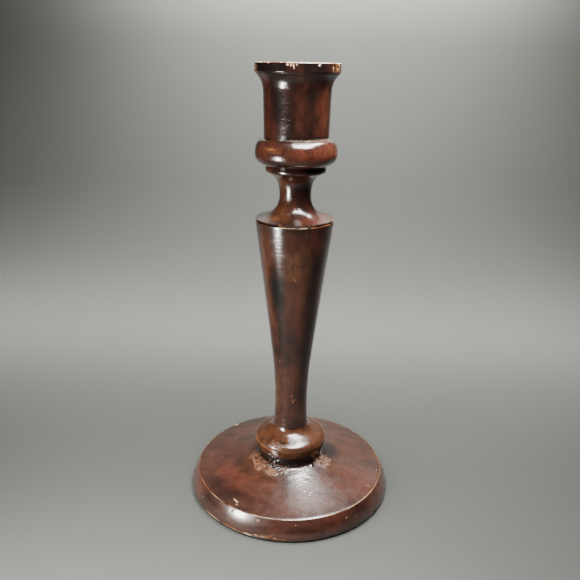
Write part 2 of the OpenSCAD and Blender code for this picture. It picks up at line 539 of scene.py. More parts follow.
def varnish_gloss(g, gloss, glue, bare_and_highlight):
    """The roughness: smeared varnish, rough on glue, worn-through wood and painted highlight lines, and
    smooth on the black glue and the painted shade.
    """
    smear = g.noise(6, (1, 1, 0.6), detail=4, rough=0.65, seed=9)
    rough = g.between(smear, 0.3, 0.7, *gloss)
    rough = g.value_blend(glue, rough, 0.46)
    rough = g.value_blend(g.mask("soot_and_shade"), rough, 0.14)
    return g.value_blend(bare_and_highlight, rough, 0.75)


def varnish_surface(g, peel, fibre, knots, glue, bare_and_highlight):
    """The fine relief in millimetres: ripples and grit, pits, the rings of turning, glue and raw fibres."""
    height, crackle, turned = peel
    ripple = g.noise(1.15, detail=2.5, rough=0.5, seed=10)
    grit = g.noise(0.45, detail=3, rough=0.7, seed=11)
    pits = g.between(g.noise(0.8, detail=2, rough=0.6, seed=12), 0.58, 0.8)
    rings = g.noise(1.0, (14, 14, 1), detail=1.5, rough=0.5, seed=15)
    surface = g.plus(g.times(ripple, height), g.times(grit, 0.2 * height))
    surface = g.math("SUBTRACT", surface, g.times(pits, crackle))
    surface = g.plus(surface, g.times(rings, turned))
    surface = g.plus(surface, g.times(g.times(knots, glue), 0.35))
    return g.plus(surface, g.times(g.times(fibre, bare_and_highlight), 0.2))


def varnished(name, along, tones, gloss, peel, coat):
    """Stained wood under old varnish. along stretches the grain, and tones run from dark to warm.

    gloss is the least and greatest roughness, peel the depth of ripples, pits and rings in millimetres,
    and coat the weight and roughness of the clear coat.
    """
    g = Graph(name)
    fibre = g.noise(0.42, along, detail=3, rough=0.6, seed=3)
    knots = g.noise(0.9, detail=4, rough=0.7, twist=1.5, seed=7)
    glue = g.frayed("glue", 0.5, 0.8, 6)
    bare_and_highlight = g.frayed("bare_and_highlight", 0.4, 0.5, 8)
    g.give("Base Color", stained_wood(g, along, tones, fibre, knots, glue, bare_and_highlight))
    g.give("Roughness", varnish_gloss(g, gloss, glue, bare_and_highlight))
    g.bump(varnish_surface(g, peel, fibre, knots, glue, bare_and_highlight), MM)
    weight, softness = coat
    g.give("IOR", VARNISH_IOR)
    g.give("Coat Weight", weight)
    g.give("Coat Roughness", softness)
    return g.material


def baize():
    """Dark green felted wool, with short fibres lying every way."""
    g = Graph("dark_baize")
    fluff = g.noise(0.55, (1, 1, 1), detail=5, rough=0.75, twist=1.2, seed=1)
    patch = g.noise(14, detail=3, seed=2)
    colour = g.blend(g.between(fluff, 0.3, 0.7), BAIZE_DARK, BAIZE_LIGHT)
    colour = g.blend(g.between(patch, 0.35, 0.75, 0, 0.45), colour, BAIZE_DUSTY)
    g.give("Base Color", colour)
    g.give("Roughness", g.between(fluff, 0.2, 0.8, 0.85, 1.0))
    g.bump(fluff, 0.25 * MM)
    g.give("Specular IOR Level", 0.1)
    g.give("Sheen Weight", 0.03)
    g.give("Sheen Roughness", 0.5)
    return g.material


def screw_steel():
    """Dull steel with fine rings from turning and a little rust."""
    g = Graph("screw_steel")
    g.give("Metallic", 1.0)
    ring = g.noise(0.25, (30, 30, 1), detail=3, seed=1)
    rust = g.between(g.noise(2.2, detail=5, rough=0.7, seed=2), 0.55, 0.68)
    colour = g.blend(g.between(ring, 0.3, 0.7), STEEL_DARK, STEEL_LIGHT)
    g.give("Base Color", g.blend(rust, colour, RUST))
    rough = g.between(ring, 0.2, 0.8, 0.3, 0.48)
    g.give("Roughness", g.value_blend(rust, rough, 0.8))
    g.bump(g.plus(g.times(ring, 0.3), rust), 0.03 * MM)
    return g.material


# ---- the base

# The lift that takes most of the height out of noise, so that it follows the plan of the base's top
FROM_ABOVE = 0.2


def clouds(t, name, where, patches, seed):
    """Soft patches of another tone: azimuth, height, width, height of the patch, strength, radius if any."""
    for azimuth, height, wide, tall, share, *radius in patches:
        cloud = t.spot(azimuth, height, wide, tall, *radius, ragged=0.45, soft=0.9, seed=seed + int(wide))
        t.paint(name, share * cloud * where)


def turn_base(t, shown):
    """Turning marks, a slight warp, and small dents of use, all just inside the CAD's skin."""
    t.relief -= 0.08
    t.relief += shown * (0.008 * t.rings(2.6, 3) + 0.002 * t.rings(1.2, 4))
    t.relief += shown * (0.09 * t.grain(38, 5, 2))
    t.relief += shown * (0.006 * t.grain(4.2, 6))


def wear_and_highlight_arris(t, arris):
    """The arris is worn through the stain in a thin, uneven line, and painted brightest in front as a
    highlight where the edge catches the light.
    """
    radius, height = arris
    along = t.away(0, height, radius)[1]
    uneven = t.grain(6, 8)
    fine = t.grain(1.1, 9)
    off = np.abs(along + 0.22 * fine - 0.1)
    t.paint("amber", ramp(off, 0.5 + 0.25 * uneven, 0.15) * ramp(uneven, -0.9, -0.1))
    # Painted highlight as well as wear: the pale line is strongest in front, where the edge catches the
    # light
    facing = 0.5 + 0.5 * t.facing(8, 70, 25)
    t.paint("bare_and_highlight", ramp(off, 0.42 + 0.2 * uneven, 0.1) * facing * ramp(uneven + 0.3 * fine, -0.75, 0.1))
    t.relief -= 0.1 * ramp(off, 0.8, 0.2)


def bruise_and_highlight_foot(t, shown, bottom, edge):
    """The lower edge is bruised all round, and split away at the front left. A thin pale line along it,
    strongest in front, is painted highlight as well as wear.
    """
    foot = ramp(t.z, bottom + 1.9, bottom + 0.5) * shown
    rough = t.grain(5, 10)
    t.relief -= foot * 0.35 * ramp(rough, 0.0, 0.8)
    t.paint("amber", 0.8 * foot * ramp(rough, 0.0, 0.5))
    # Painted highlight and wear: a thin pale line along the lower edge, strongest in front
    low_line = ramp(t.z, bottom + 0.8, bottom + 0.4) * shown
    t.paint("bare_and_highlight", 0.85 * low_line * ramp(rough, -0.3, 0.3) * (0.1 + 0.9 * t.facing(-18, 34, 18)))
    for azimuth, wide, tall, deep in (
        (-14, 13, 5.6, 0.8), (-21, 7, 3.6, 0.6), (-6, 9, 3.0, 0.5), (-33, 9, 2.4, 0.35),
        (-46, 12, 2.0, 0.3), (74, 7, 2.6, 0.4), (128, 10, 3.2, 0.5), (-120, 8, 2.6, 0.45), (176, 9, 3, 0.4),
    ):
        chip = t.spot(azimuth, bottom + 0.6, wide, tall, edge, ragged=0.9, soft=0.25, seed=20) * shown
        t.relief -= deep * chip
        t.paint("amber", chip)
        t.paint("bare_and_highlight", 0.8 * chip * ramp(t.z, bottom + 2.6, bottom + 0.9) * ramp(rough, -0.4, 0.3))


def glue_and_shade_round_stem(t, on_top):
    """Glue round the foot of the stem, thickest at the front left and at the right, and painted shade in the
    corner under the foot bead.
    """
    ring = t.grain(6, 31)
    gnarl = t.grain(1.5, 33, 4, lift=FROM_ABOVE)
    thick = t.facing(-46, 52, 20) + 0.95 * t.facing(62, 20, 7) + 0.25 * ramp(t.bearing, -60, 20)
    thick = np.clip(thick - 0.25 * ramp(t.bearing, 20, 45) + 0.1, 0, 1)
    reach = 20.4 + 8.2 * thick * (0.8 + 0.5 * ring)
    crust = ramp(t.r, reach + 1.6, reach - 1.8) * on_top * thick
    veins = 1 - ramp(np.abs(gnarl), 0.02, 0.3)
    t.paint("glue", crust * (0.2 + 0.75 * veins + 0.5 * gnarl))
    t.relief += crust * (0.22 * veins + 0.2 * np.abs(gnarl)) * ramp(t.r, 19, 20.5)
    # Painted shade: a dark ring on the base right under the foot bead's overhang
    t.paint("soot_and_shade", 0.9 * ramp(t.r, 21.4, 20.3) * on_top * (1 - 0.7 * thick))


def bead_glue(t, on_top):
    """Wet-looking beads of black glue in the corner under the collar."""
    for azimuth, radius, size, tall in (
        (-25, 21.3, 3.0, 0.8), (-17, 21.6, 2.4, 0.7), (-11, 21.2, 1.8, 0.5), (-34, 21.4, 2.2, 0.5),
        (38, 21.3, 2.2, 0.4), (150, 21.4, 2.4, 0.5), (-140, 21.5, 2.0, 0.4),
    ):
        blob = t.bead(azimuth, 21.5, radius, size) * on_top
        t.relief += tall * blob
        t.paint("soot_and_shade", ramp(blob, 0.0, 0.2))


def pool_varnish(t, on_top):
    """The varnish is pitted where it pooled in front, and dark and rough on the right."""
    pool = t.spot(15, 19, 26, 17, 28, ragged=0.5, soft=0.7, seed=40) * on_top
    t.relief += 0.05 * pool * t.grain(1.0, 41, lift=FROM_ABOVE)
    blotch = t.spot(94, 20.5, 17, 10, 24.5, ragged=0.5, soft=0.6, seed=42) * on_top
    t.paint("soot_and_shade", 0.75 * blotch)
    t.relief += 0.05 * blotch * t.grain(1.1, 43, lift=FROM_ABOVE)


def tone_base(t, on_top, on_side):
    """Ruddy, golden and blackened places of the stain."""
    clouds(t, "ruddy", on_top, (
        (-56, 15, 30, 12, 1.0, 40), (-28, 15, 18, 12, 0.8, 33), (-75, 15, 22, 10, 0.45, 47),
        (10, 15, 70, 13, 0.3, 46), (60, 15, 40, 18, 0.45, 44), (120, 15, 44, 18, 0.5, 40),
        (-150, 15, 40, 20, 0.55, 38), (-100, 15, 20, 16, 0.35, 36),
    ), 50)
    clouds(t, "golden", on_top, (
        (-48, 19, 24, 13, 0.7, 27), (62, 19, 12, 14, 0.7, 27), (-5, 19, 22, 9, 0.3, 27),
        (-18, 16, 20, 8, 0.4, 35),
    ), 52)
    clouds(t, "soot_and_shade", on_top, (
        (-60, 15, 26, 9, 0.4, 51), (-38, 15, 26, 6, 0.45, 47), (-72, 18, 14, 8, 0.35, 31),
        (20, 14, 60, 5, 0.2, 53), (100, 15, 30, 8, 0.25, 50), (7, 19, 16, 8, 0.45, 28),
        (-165, 15, 34, 8, 0.35, 48), (-110, 17, 18, 8, 0.3, 36), (-25, 19, 12, 4, 0.35, 30),
    ), 54)
    clouds(t, "soot_and_shade", on_side, (
        (-52, 8, 14, 8, 0.45), (-28, 6, 10, 5, 0.3), (12, 8, 20, 5, 0.3),
        (48, 8, 12, 9, 0.15), (120, 8, 26, 7, 0.4), (-130, 8, 24, 7, 0.4),
    ), 56)
    t.paint("ruddy", 0.6 * on_side * ramp(t.grain(14, 55, 2), -0.5, 0.5))


def nick_base(t, on_top, shown):
    """Nicks and scratches on the top, and pits and specks on the side."""
    fine = t.grain(1.1, 9)
    # Azimuth, radius, length, width, tilt, strength
    for azimuth, radius, wide, tall, tilt, share in (
        (-36, 51.5, 5.0, 0.8, -12, 1.0), (-33.5, 53.6, 2.4, 0.5, -10, 0.8), (40, 36.8, 7.5, 0.6, 22, 0.5),
        (62, 53.2, 0.9, 0.8, 0, 0.7), (81, 54.7, 1.1, 0.7, 0, 0.7), (14, 37, 0.8, 0.6, 0, 0.5),
        (19, 38.6, 0.8, 0.6, 0, 0.5), (24, 37.6, 0.9, 0.7, 0, 0.5), (17, 40.2, 0.6, 0.6, 0, 0.4),
        (27, 40, 0.7, 0.5, 0, 0.4), (-138, 55.8, 3.4, 1.3, 0, 0.9), (151, 47, 6.5, 0.7, 35, 0.5),
        (-96, 50, 4.0, 0.6, -30, 0.5), (108, 33, 5.5, 0.5, 10, 0.4), (-171, 42, 3.2, 0.7, 50, 0.4),
    ):
        seed = 60 + int(wide * 7)
        nick = t.spot(azimuth, 14, wide, tall, radius, ragged=0.35, soft=0.3, tilt=tilt, seed=seed)
        t.paint("bare_and_highlight", share * nick * on_top)
        t.relief -= 0.12 * nick * on_top
    # Azimuth, height, width, height of the pit, strength
    for azimuth, height, wide, tall, share in (
        (-34, 11.9, 2.2, 1.5, 1), (-17, 11, 1.9, 1.7, 1), (-29, 12.4, 3.0, 0.9, 0.7),
        (112, 9, 2.2, 1.6, 0.9), (-88, 8, 1.8, 1.5, 0.8), (165, 10, 2.4, 1.2, 0.8),
    ):
        pit = t.spot(azimuth, height, wide, tall, 58, ragged=0.6, soft=0.4, seed=80 + int(height * 3))
        t.relief -= 0.07 * pit * shown * (1 + fine)
        t.paint("glue", share * pit * shown)
    specks = ((4, 10.9, 0.8), (34, 9.1, 0.8), (40, 8.2, 0.6), (-58, 7.5, 0.7), (150, 7, 0.9))
    for azimuth, height, size in specks:
        t.paint("bare_and_highlight", 0.8 * t.spot(azimuth, height, size, size, 58.5, ragged=0.3, seed=90) * shown)


def base_piece(material):
    """The base, with a worn arris and a bruised lower edge, both with painted highlights in front, and old
    glue and painted shade round the foot of the stem.
    """
    low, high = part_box("base")
    bottom, edge = low.z / MM, high.x / MM

    def step(r, z):
        if r > edge - 1.9 and z < bottom + 0.6:
            return 0.25
        return 0.5 if r > 17 and z > bottom + 0.2 else HIDDEN_STEP

    t = Turned("base", BASE_COLUMNS, step)
    arris = t.corner_near(57, 13)
    shown = (t.r > 19) & (t.z > bottom + 0.01)
    on_top = shown & (t.z > arris[1] - 0.2)
    on_side = shown & (t.z < arris[1])

    turn_base(t, shown)
    wear_and_highlight_arris(t, arris)
    bruise_and_highlight_foot(t, shown, bottom, edge)
    glue_and_shade_round_stem(t, on_top)
    bead_glue(t, on_top)
    pool_varnish(t, on_top)
    tone_base(t, on_top, on_side)
    nick_base(t, on_top, shown)
    t.relief = np.minimum(t.relief, np.where(t.r > edge - 1.4, -0.05, 1))
    return t.build("turned_base", "base", material)


# ---- the stem


def turn_stem(t, shown):
    """The gouge left soft rings all the way up, and the varnish ran over them."""
    t.relief += shown * (0.03 * t.rings(4.5, 3) + 0.016 * t.rings(1.9, 4))
    t.relief += shown * (0.05 * t.grain(11, 5, 2, lift=0.35))
    t.relief += shown * (0.008 * t.grain(2.2, 6, lift=1.6))


def rub_and_highlight_shoulder(t, shown, shoulder):
    """The shoulder's edge is rubbed bright where it meets the flange, and painted palest in front as a
    highlight.
    """
    uneven = t.grain(6, 8)
    edge = ramp(np.abs(t.z - shoulder + 0.1 + 0.3 * t.grain(2, 7)), 0.26, 0.06) * shown
    # Painted highlight and wear: the pale line is strongest in front
    t.paint("bare_and_highlight", 0.75 * edge * ramp(uneven, -0.35, 0.25) * (0.3 + 0.7 * t.facing(-12, 48, 30)))
    t.paint("amber", 0.7 * edge * ramp(uneven, -0.6, -0.1))
    t.relief -= 0.1 * edge


def tone_stem(t, shown):
    """Golden, ruddy and blackened places of the stain."""
    clouds(t, "golden", shown, (
        (4, 146, 15, 26, 0.75), (14, 132, 9, 22, 0.5), (-4, 128, 8, 20, 0.4),
        (-52, 152, 9, 26, 0.8), (-56, 128, 6, 30, 0.7), (-60, 63, 6, 44, 1.0),
        (-20, 70, 7, 26, 0.35), (60, 128, 8, 26, 0.45), (120, 150, 14, 26, 0.6),
        (165, 110, 11, 34, 0.5), (-130, 140, 12, 30, 0.6), (-160, 80, 7, 30, 0.5),
        (30, 50, 8, 14, 0.6),
    ), 10)
    clouds(t, "ruddy", shown, (
        (-48, 140, 10, 34, 0.8), (-52, 112, 8, 26, 0.7), (-10, 160, 16, 12, 0.5),
        (8, 118, 14, 26, 0.5), (2, 84, 10, 40, 0.4), (-25, 56, 8, 24, 0.5),
        (35, 158, 14, 14, 0.5), (100, 100, 12, 60, 0.5), (-150, 150, 20, 30, 0.5),
    ), 12)
    clouds(t, "soot_and_shade", shown, (
        (-34, 132, 8.5, 32, 1.0), (-6, 160, 9, 9, 0.4), (-28, 104, 5, 24, 0.45),
        (45, 120, 11, 60, 0.45), (-4, 104, 7, 30, 0.35), (-2, 166, 22, 3.5, 0.35),
        (150, 130, 10, 40, 0.4), (-90, 110, 8, 50, 0.4),
    ), 14)


def scratch_stem(t, shown):
    """Scratches and knocks on the taper."""
    # Azimuth, height, width, length, tilt, strength
    for azimuth, height, wide, tall, tilt, share in (
        (-3, 149, 0.6, 7.5, 16, 0.6), (3, 150, 0.5, 8, 24, 0.5), (-8, 146, 0.5, 6, -8, 0.5),
        (1, 139, 0.9, 3.2, 40, 0.8), (-4, 138.5, 0.8, 1.6, 60, 0.7), (7, 138, 0.5, 4, -14, 0.5),
        (-38, 86, 0.9, 1.0, 0, 1.0), (3, 63.5, 0.7, 2.4, -30, 0.9), (6, 60.6, 0.8, 3.2, 24, 0.9),
        (14, 61.0, 0.7, 2.0, 55, 0.9), (88, 118, 0.8, 5, 12, 0.6), (-144, 96, 0.7, 7, -16, 0.6),
        (170, 140, 1.0, 3.2, 30, 0.7), (40, 96, 0.5, 2.2, 10, 0.5),
    ):
        cut = t.spot(azimuth, height, wide, tall, ragged=0.5, soft=0.4, tilt=tilt, seed=30 + int(tall * 5))
        t.paint("amber", share * cut * shown)
        t.paint("bare_and_highlight", 0.45 * share * cut * shown)
        t.relief -= 0.08 * cut * shown


def rub_foot_bead(t, shown):
    """The foot bead is rubbed to a golden brown, most at the left."""
    uneven = t.grain(6, 8)
    on_bead = shown & (t.z > 28) & (t.z < 45) & (t.r > 10.3)
    t.paint("golden", 0.8 * on_bead)
    clouds(t, "golden", on_bead, (
        (-70, 35, 30, 12, 1.0, 20), (-30, 33, 16, 6, 0.9, 21), (60, 36, 22, 10, 1.0, 20),
        (10, 32, 24, 5, 0.8, 21),
    ), 16)
    clouds(t, "ruddy", on_bead, (
        (30, 38, 20, 10, 0.8, 16), (-40, 40, 12, 6, 0.6, 14), (80, 34, 16, 8, 0.7, 20),
    ), 17)
    band = ramp(np.abs(t.z - 32.6 + 1.0 * t.grain(6, 41)), 1.5, 0.5) * (t.r > 19)
    t.paint("amber", band * (0.42 + 0.6 * t.facing(-62, 46, 10) + 0.3 * t.facing(70, 40, 10) + 0.3 * uneven))
    scuff = t.spot(-22, 36, 12, 6.5, 19.6, ragged=1.1, soft=0.35, seed=42)
    t.paint("glue", 0.42 * scuff)
    t.paint("soot_and_shade", 0.8 * t.spot(-14, 37.5, 5, 2.2, 18, ragged=0.9, soft=0.4, seed=43))
    dented = t.spot(-6, 36, 24, 10, 18, ragged=0.6, soft=0.6, seed=44)
    t.relief += (0.14 * scuff + 0.04 * dented) * t.grain(1.6, 43)


def shade_and_glue_collar(t, shown):
    """The collar under the foot bead is painted near black all round, for dark old glue and for the shade
    under the bead, with a few wet-looking beads of glue at the front left.
    """
    # Painted shade and dark glue: the collar is darkened all round below the foot bead
    black = ramp(t.z, 29.5, 26.0) * shown
    t.paint("soot_and_shade", 0.9 * black * (0.85 + 0.4 * t.grain(4, 44)))
    t.relief += 0.1 * black * np.abs(t.grain(2.6, 45))
    for azimuth, height, size, tall in (
        (-24, 27.2, 3.4, 0.9), (-15, 26.0, 2.4, 0.75), (-32, 26.6, 2.4, 0.6), (-20, 24.2, 2.8, 0.8),
        (-9, 26.6, 1.8, 0.5), (-38, 28.6, 3.0, 0.5), (35, 24.5, 2.2, 0.4), (150, 25, 2.6, 0.5),
        (-28, 29.2, 1.8, 0.4), (-11, 23.8, 1.8, 0.5),
    ):
        t.relief += tall * t.bead(azimuth, height, 20, size, squash=1.6) * shown


def stem_piece(material):
    """The stem, rubbed at its shoulder and foot bead, with a painted highlight on the shoulder's edge, and
    blackened glue and painted shade round the collar.
    """
    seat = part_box("base")[1].z / MM
    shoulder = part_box("stem")[1].z / MM

    def step(r, z):
        if r < 8.9:
            return HIDDEN_STEP
        if z < seat + 22 or z > shoulder - 4:
            return 0.38
        return 0.8

    t = Turned("stem", STEM_COLUMNS, step)
    shown = (t.z > seat + 0.02) & (t.r > 8.8)

    turn_stem(t, shown)
    rub_and_highlight_shoulder(t, shown, shoulder)
    tone_stem(t, shown)
    scratch_stem(t, shown)
    rub_foot_bead(t, shown)
    shade_and_glue_collar(t, shown)
    # The parts that meet the other pieces stay as they were turned
    t.relief *= ramp(t.z, seat + 0.05, seat + 1.0) * ramp(t.z, shoulder - 0.02, shoulder - 0.8) * shown
    return t.build("turned_stem", "stem", material)


# ---- the nozzle


def wear_rim(t, top, rim, bore):
    """The rim has lost its varnish, and splinters of wood, all along its top edge."""
    near_top = t.z > top - 4
    jag = t.grain(1.5, 11, 4, lift=0.15)
    slow = t.grain(8, 12, 2, lift=0.0)
    bite = 1.2 * np.maximum(jag, -0.35) + 0.25 * slow
    bite = bite + 0.12 * t.facing(-7, 15, 6) + 0.4 * t.facing(64, 14, 5)
    bite = bite + 0.45 * t.facing(-148, 22, 6) + 0.4 * t.facing(130, 20, 5)
    bite = np.clip(bite, -0.4, 1.7)
    inward = (rim - t.r) + (top - t.z)
    cut = np.clip(bite - inward, 0, 2.0) * (t.r > 19.5) * near_top
    splinter = 0.25 * np.abs(t.grain(0.9, 13))
    t.relief -= cut * (0.75 + splinter)
    lost = ramp(bite - inward, -0.12, 0.16) * (t.r > 18) * near_top
    t.paint("bare_and_highlight", lost * (0.75 + 0.6 * jag))
    t.paint("amber", 0.8 * lost)
    lip = (t.z > top - 0.3) & (t.r > bore - 0.2)
    worn_lip = ramp(t.r + 1.1 * t.grain(2.6, 14), 19.4, 21.2)
    gaps = ramp(t.grain(1.6, 16), -0.25, 0.15)
    t.paint("bare_and_highlight", 0.85 * worn_lip * lip * gaps)
    t.paint("amber", lip * ramp(t.grain(4, 15), -0.4, 0.3))
    t.paint("amber", worn_lip * lip)


def chip_and_highlight_rim(t, top, rim):
    """Chips, rubbed places and darkened old varnish on the rim band, and a painted highlight line along its
    lower edge at the front left.
    """
    # Azimuth, distance below the top, width, height of the chip, tilt, depth
    for azimuth, below, wide, tall, tilt, deep in (
        (-5, 1.9, 0.7, 3.8, 12, 0.4), (-8.5, 1.1, 0.9, 2.2, -20, 0.35), (-1.5, 1.0, 0.8, 2.0, 24, 0.3),
        (-13, 0.9, 1.0, 1.4, 10, 0.3), (52, 2.4, 0.7, 2.4, 10, 0.3), (63, 2.6, 1.5, 1.6, 0, 0.35),
        (70, 1.6, 1.8, 3.4, -14, 0.4), (-74, 2.6, 2.4, 3.4, 10, 0.3), (140, 1.8, 2.0, 3.0, 15, 0.4),
        (-140, 1.6, 1.6, 2.4, -15, 0.35), (178, 1.2, 2.4, 1.6, 0, 0.3), (28, 0.9, 1.0, 1.4, 0, 0.3),
    ):
        chip = t.spot(azimuth, top - below, wide, tall, rim, ragged=1.1, soft=0.25, tilt=tilt, seed=21)
        chip = chip * (t.r > 21.5)
        t.relief -= deep * chip
        t.paint("bare_and_highlight", chip * (0.95 if abs(azimuth) < 60 or abs(azimuth) > 100 else 0.5))
        t.paint("amber", chip)
    for azimuth, wide, share in ((-76, 11, 0.7), (66, 11, 0.65), (-160, 12, 0.6)):
        rub = t.spot(azimuth, top - 2.6, wide, 5.5, rim, ragged=0.7, soft=0.6, seed=22)
        t.paint("amber", share * rub * (t.r > 21))
    for azimuth, share in ((-44, 0.75), (-24, 0.4), (22, 0.4), (78, 0.5), (160, 0.5)):
        old = t.spot(azimuth, top - 2.8, 14, 5.5, rim, ragged=0.6, soft=0.7, seed=23)
        t.paint("soot_and_shade", share * old * (t.r > 21))
    # Painted highlight: a thin pale line along the lower edge of the rim band, at the front left
    under = ramp(np.abs(t.z - (top - 5.0)), 0.24, 0.05) * (t.r > 21.6)
    t.paint("bare_and_highlight", 0.5 * under * t.facing(-24, 16, 9))


def turn_nozzle(t, outside):
    """Rings of turning, a slight warp, and rippled varnish, all just inside the CAD's skin."""
    t.relief -= 0.04
    t.relief += outside * (0.022 * t.rings(2.4, 3) + 0.014 * t.rings(0.9, 4))
    t.relief += outside * (0.05 * t.grain(9, 5, 2, lift=0.5))
    t.relief += outside * (0.022 * t.grain(1.9, 6))


def rub_crease(t, top):
    """A ragged, rubbed line in the crease over the bead, and old dirt above it."""
    crease_z, crease_r = top - 38, 17.4
    along = t.away(0, crease_z, crease_r)[1]
    jagged = t.grain(1.3, 31, 4)
    gaps = t.grain(3.5, 32)
    near = np.abs(along - 0.2 + 0.5 * jagged)
    strength = 0.3 + 0.7 * ramp(t.bearing, -35, 25) * ramp(t.bearing, 125, 75)
    t.paint("glue", strength * ramp(near, 0.8, 0.15) * ramp(gaps + 0.5 * jagged, -0.55, 0.15))
    t.relief += 0.12 * ramp(near, 1.0, 0.2) * jagged
    grime = ramp(along, 0.2, 0.7) * ramp(along, 3.4, 0.9)
    t.paint("soot_and_shade", 0.8 * grime * ramp(t.bearing, -70, 0) * (0.8 + 0.5 * gaps))
    t.relief += 0.08 * grime * gaps


def tone_nozzle(t, outside):
    """Ruddy, golden and blackened places of the stain, and one dark patch painted as shade on the cup's
    reflection strip.
    """
    clouds(t, "ruddy", outside, (
        (-62, 228, 8, 34, 0.7), (2, 224, 7, 24, 0.25), (38, 220, 8, 24, 0.45),
        (58, 226, 9, 40, 0.65), (12, 241, 20, 8, 0.5), (-40, 218, 8, 14, 0.4),
        (-60, 205, 22, 12, 0.8), (5, 205, 26, 9, 0.9), (48, 206, 24, 12, 1.0),
        (110, 206, 30, 12, 0.8), (-130, 206, 34, 12, 0.8), (175, 205, 20, 10, 0.6),
        (-50, 182, 8, 24, 0.8), (0, 182, 7, 22, 0.5), (40, 180, 6, 18, 0.25),
        (-75, 172, 22, 10, 0.8), (60, 171, 26, 9, 0.9), (150, 172, 30, 10, 0.7),
        (120, 228, 14, 40, 0.6), (-120, 228, 12, 40, 0.6), (175, 228, 10, 40, 0.6),
    ), 60)
    clouds(t, "golden", outside, (
        (-50, 172.4, 16, 12, 1.0), (-60, 206, 8, 6, 0.4), (-38, 207.6, 11, 3, 1.0),
        (60, 207, 10, 5, 0.7), (58, 226, 5, 22, 0.3), (-64, 196, 12, 5, 0.7),
        (100, 206, 14, 6, 0.6), (160, 172, 14, 8, 0.6), (-45, 186, 5, 16, 0.6),
    ), 62)
    # Painted shade: the patch at azimuth -30, height 226 darkens the middle of the cup's reflection strip
    clouds(t, "soot_and_shade", outside, (
        (-8, 230, 5, 34, 0.6), (24, 232, 6, 30, 0.6), (-30, 226, 7, 22, 0.7),
        (20, 184, 5, 22, 0.6), (-20, 200, 20, 4, 0.6), (90, 230, 10, 30, 0.4),
        (-90, 235, 8, 26, 0.4), (150, 225, 8, 36, 0.4),
    ), 64)


def rub_through(t, outside):
    """Places rubbed through to paler wood."""
    # Azimuth, height, width, height of the patch, strength
    for azimuth, height, wide, tall, share in (
        (-46, 171.2, 11, 5, 0.5), (-62, 174.5, 5, 5, 0.4), (-37, 208, 8, 1.6, 0.62),
        (-30, 206.6, 5, 0.8, 0.55), (70, 205, 6, 3, 0.5), (100, 206, 12, 4, 0.55),
        (160, 172, 10, 5, 0.55), (-120, 208, 10, 3, 0.55),
    ):
        patch = t.spot(azimuth, height, wide, tall, ragged=0.9, soft=0.5, seed=40 + int(tall))
        t.paint("amber", share * patch * outside)


def rub_flange(t, shoulder):
    """The flange's edge is rubbed bright in a thin line."""
    jagged = t.grain(1.3, 31, 4)
    gaps = t.grain(3.5, 32)
    flange = shoulder + 1.35
    worn = ramp(np.abs(t.z - flange + 0.25 * jagged), 0.3, 0.08) * (t.r > 20.8)
    t.paint("amber", 0.7 * worn * ramp(gaps, -0.5, 0.2))
    t.paint("bare_and_highlight", 0.4 * worn * ramp(t.grain(5, 33), 0.0, 0.5))
    t.relief -= 0.06 * worn


def nozzle_piece(material):
    """The nozzle, with a splintered rim, and dirt and glue in the crease over the bead."""
    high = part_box("nozzle")[1]
    top, rim = high.z / MM, high.x / MM
    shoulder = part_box("stem")[1].z / MM
    bore = 11.0

    def step(r, z):
        if z < shoulder + 0.01:
            return HIDDEN_STEP
        if r < bore + 0.5 and z > shoulder + 40:
            return 1.2 if z > top - 1.5 else 2.0
        if z > top - 6:
            return 0.3
        if z > top - 34 and r < 18.6:
            return 0.7
        return 0.38

    t = Turned("nozzle", NOZZLE_COLUMNS, step)
    shown = (t.z > shoulder + 0.3) & (t.r > 8)
    outside = shown & ((t.r > bore + 0.3) | (t.z < shoulder + 40))

    turn_nozzle(t, outside)
    wear_rim(t, top, rim, bore)
    chip_and_highlight_rim(t, top, rim)
    rub_crease(t, top)
    tone_nozzle(t, outside)
    rub_through(t, outside)
    rub_flange(t, shoulder)
    t.relief = np.minimum(t.relief, np.where((t.r > 21.5) | (t.z > top - 0.5), -0.02, 1))
    t.relief *= ramp(t.z, shoulder + 0.1, shoulder + 0.5)
    return t.build("turned_nozzle", "nozzle", material)


# ---- pad and screw


def pad_piece(material):
    """The baize pad: a felted disc with a soft, slightly uneven cut edge."""
    low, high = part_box("baize_pad")

    def step(r, z):
        return 0.3 if r > high.x / MM - 1.5 else 1.2

    t = Turned("baize_pad", PAD_COLUMNS, step)
    edge = t.r > high.x / MM - 1
    t.relief -= 0.06 + 0.05 * np.abs(t.grain(1.2, 3)) * (t.z < 1.5)
    t.relief -= edge * 0.18 * np.abs(t.grain(2.5, 4))
    piece = t.build("baize_disc", "baize_pad", material)
    return piece


# ---- stage, light and camera

# Half the width of the stage, and how high its paper and wall reach
STAGE_HALF = 0.98
STAGE_TALL = 1.1
LAMP_WHITE = (1.0, 0.985, 0.95)
LAMP_WARM = (1.0, 0.97, 0.92)
ROOM_BLUE = (0.9, 0.95, 1.0, 1)
ROOM_STRENGTH = 0.05


def sheet(name, verts, faces, material):
    """A smooth sheet of the setting."""
    mesh = bpy.data.meshes.new(name)
    mesh.from_pydata(verts, [], faces)
    mesh.polygons.foreach_set("use_smooth", [True] * len(faces))
    mesh.materials.append(material)
    piece = bpy.data.objects.new(name, mesh)
    bpy.context.scene.collection.objects.link(piece)
    return piece


def paper_material():
    """Smooth grey paper, a little uneven in tone."""
    g = Graph("grey_paper")
    tone = g.noise(180, detail=3, seed=1)
    g.give("Base Color", g.blend(tone, *PAPER_TONES))
    g.give("Roughness", g.between(g.noise(2, detail=3, seed=2), 0.3, 0.7, 0.8, 0.9))
    g.give("Specular IOR Level", 0.12)
    return g.material


